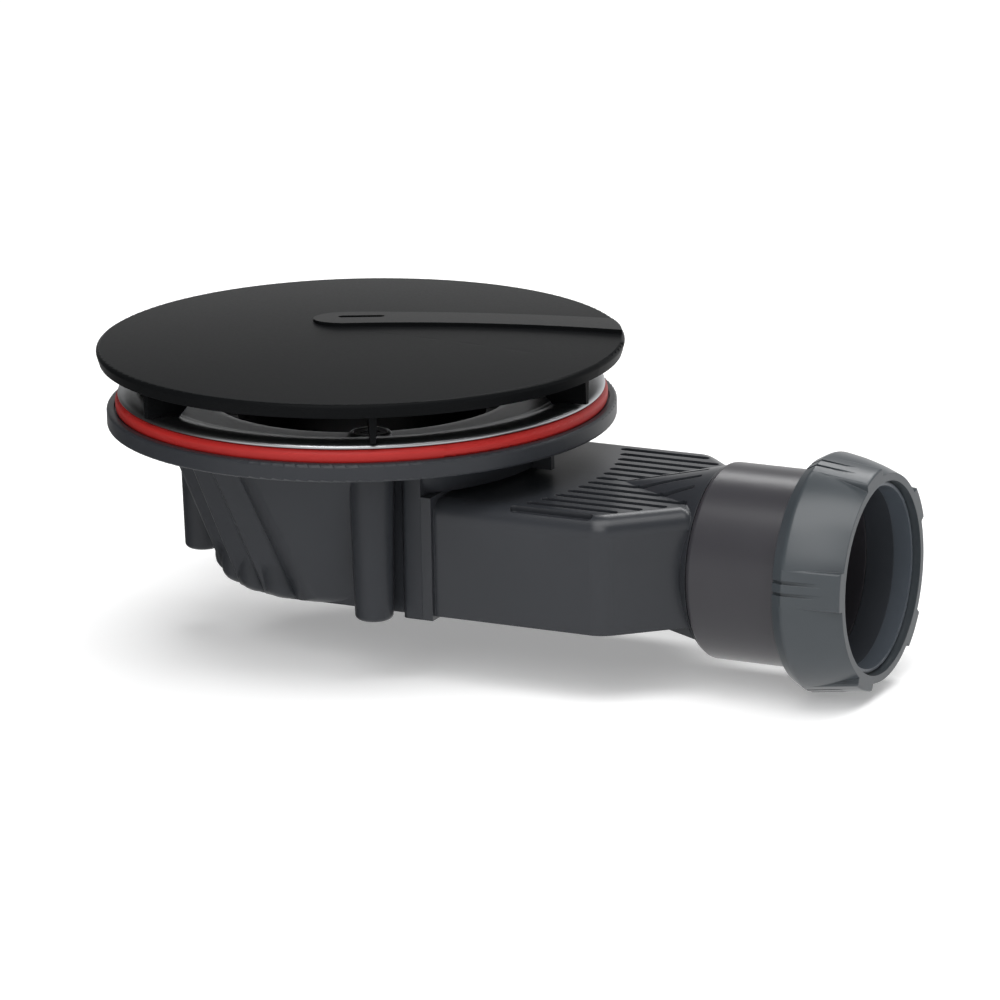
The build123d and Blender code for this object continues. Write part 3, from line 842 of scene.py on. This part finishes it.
    def build_moulding(self) -> bpy.types.Object:
        """Copy the body and round its louvres.

        Returns:
            The moulding.
        """
        moulding = self.copy_moulding()
        over = self.cut_overrun / (self.top_z - self.bottom_z)
        shares = [-over + (1 + over) * row / self.rows for row in range(self.rows + 1)]
        shoulder_lines = [self.shoulder_row(share) for share in shares]
        lobe_lines = [self.lobe_row(height) for height in self.lobe_heights]
        # Known fault: on the far side the join leaves openings at the feet of three louvres.
        for mirrored in (False, True):
            shape(moulding, self.skin("shoulder", shoulder_lines, self.cut_back, mirrored), Shaping.CUT)
            shape(moulding, self.skin("lobes", lobe_lines, self.lobe_back, mirrored), Shaping.JOIN)
        smooth(moulding, self.smooth_deg)
        return moulding

    def build(self) -> None:
        """Build the moulding and dress the body's pieces."""
        moulding = self.build_moulding()
        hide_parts("trap_body")
        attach(moulding, "trap")
        dress(moulding, Finish.BODY_PP)
        for name, finish in (
            ("outlet_duct", Finish.DUCT_PP),
            ("boss_inserts", Finish.BRASS),
            ("dip_tube", Finish.INNER_PP),
            ("dip_tube_seal", Finish.SEAL),
        ):
            dress(frame["nodes"][name], finish)


@dataclass
class PipeOutlet:
    """Threaded socket on the duct's end, and the ring, seal and nut for the waste pipe, in millimetres."""

    axis_z: float = -30.7
    sides: int = 160
    smooth_deg: float = 35.0
    outline: tuple[tuple[float, float], ...] = (
        (19.30, 90.00), (20.60, 90.00), (21.14, 90.11), (21.59, 90.41), (21.89, 90.86), (22.00, 91.40),
        (22.00, 112.90), (22.35, 113.30), (22.35, 120.30), (22.10, 120.60), (21.90, 120.60), (20.70, 115.60),
        (20.20, 115.60), (20.20, 97.50), (18.20, 97.50), (18.20, 95.50), (19.30, 95.50),
    )
    lead: float = 3.2
    turns: float = 1.6
    thread_start_x: float = 114.5
    thread_root_r: float = 22.25
    thread_crest_r: float = 23.28
    thread_base: float = 1.9
    thread_crest: float = 0.8
    thread_corners: int = 4
    thread_steps: int = 200

    def build_thread_section(self) -> bpy.types.Object:
        """Model the outline of the thread's ridge at its start.

        Returns:
            The outline, as edges without a face.
        """
        deselect_all()
        depth = self.thread_crest_r - self.thread_root_r
        middle = (self.thread_crest_r + self.thread_root_r) / 2
        bpy.ops.mesh.primitive_plane_add(
            size=1, location=(middle * MM, 0, self.thread_start_x * MM), rotation=(math.pi / 2, 0, 0)
        )
        section = bpy.context.object
        section.name = "thread_ridge"
        section.scale = (depth * MM, self.thread_base * MM, 1)
        bpy.ops.object.transform_apply(location=True, rotation=True, scale=True)
        crest = self.thread_crest / self.thread_base
        for vertex in section.data.vertices:
            if vertex.co.x > middle * MM:
                vertex.co.z = self.thread_start_x * MM + (vertex.co.z - self.thread_start_x * MM) * crest
        bpy.ops.object.mode_set(mode="EDIT")
        bpy.ops.mesh.select_all(action="SELECT")
        bpy.ops.mesh.delete(type="ONLY_FACE")
        bpy.ops.object.mode_set(mode="OBJECT")
        return section

    def build_ridge(self) -> bpy.types.Object:
        """Wind the thread's ridge round the Z axis.

        Returns:
            The ridge.
        """
        ridge = self.build_thread_section()
        screw = ridge.modifiers.new("wind", "SCREW")
        screw.axis = "Z"
        screw.angle = 2 * math.pi * self.turns
        screw.screw_offset = self.lead * self.turns * MM
        screw.steps = screw.render_steps = self.thread_steps
        bpy.ops.object.modifier_apply(modifier=screw.name)
        bpy.ops.object.mode_set(mode="EDIT")
        bpy.ops.mesh.select_all(action="SELECT")
        bpy.ops.mesh.fill_holes(sides=self.thread_corners)
        finish_mesh(ridge)
        return ridge

    def build_socket(self) -> bpy.types.Object:
        """Turn the socket, join its thread on and lay it along the outlet.

        Returns:
            The finished socket.
        """
        ridge = self.build_ridge()
        socket = turned("threaded_socket", self.outline, self.sides)
        shape(socket, ridge, Shaping.JOIN)
        socket.rotation_euler = (0, math.pi / 2, 0)
        socket.location = (0, 0, self.axis_z * MM)
        bpy.ops.object.transform_apply(location=True, rotation=True, scale=True)
        smooth(socket, self.smooth_deg)
        return socket

    def build(self) -> None:
        """Build the socket and dress the outlet's pieces."""
        socket = self.build_socket()
        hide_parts("outlet_socket")
        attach(socket, "trap")
        dress(socket, Finish.SOCKET_PP)
        for name, finish in (
            ("pipe_seal", Finish.PIPE_SEAL),
            ("slip_ring", Finish.RING_PP),
            ("compression_nut", Finish.NUT_PP),
        ):
            dress(frame["nodes"][name], finish)


@dataclass
class Cover:
    """Domed cover with a raised tongue."""

    def build(self) -> None:
        """Dress the cover."""
        dress(frame["nodes"]["cover"], Finish.COVER_ABS)


def main() -> None:
    """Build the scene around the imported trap."""
    logging.basicConfig(level=logging.INFO, format="%(name)s %(message)s")
    cad_low, cad_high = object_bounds()
    Camera().build()
    Studio().build(cad_low.z)
    for assembly in (Cover(), TrayClamp(), Body(), PipeOutlet()):
        assembly.build()


if __name__ == "__main__":
    main()
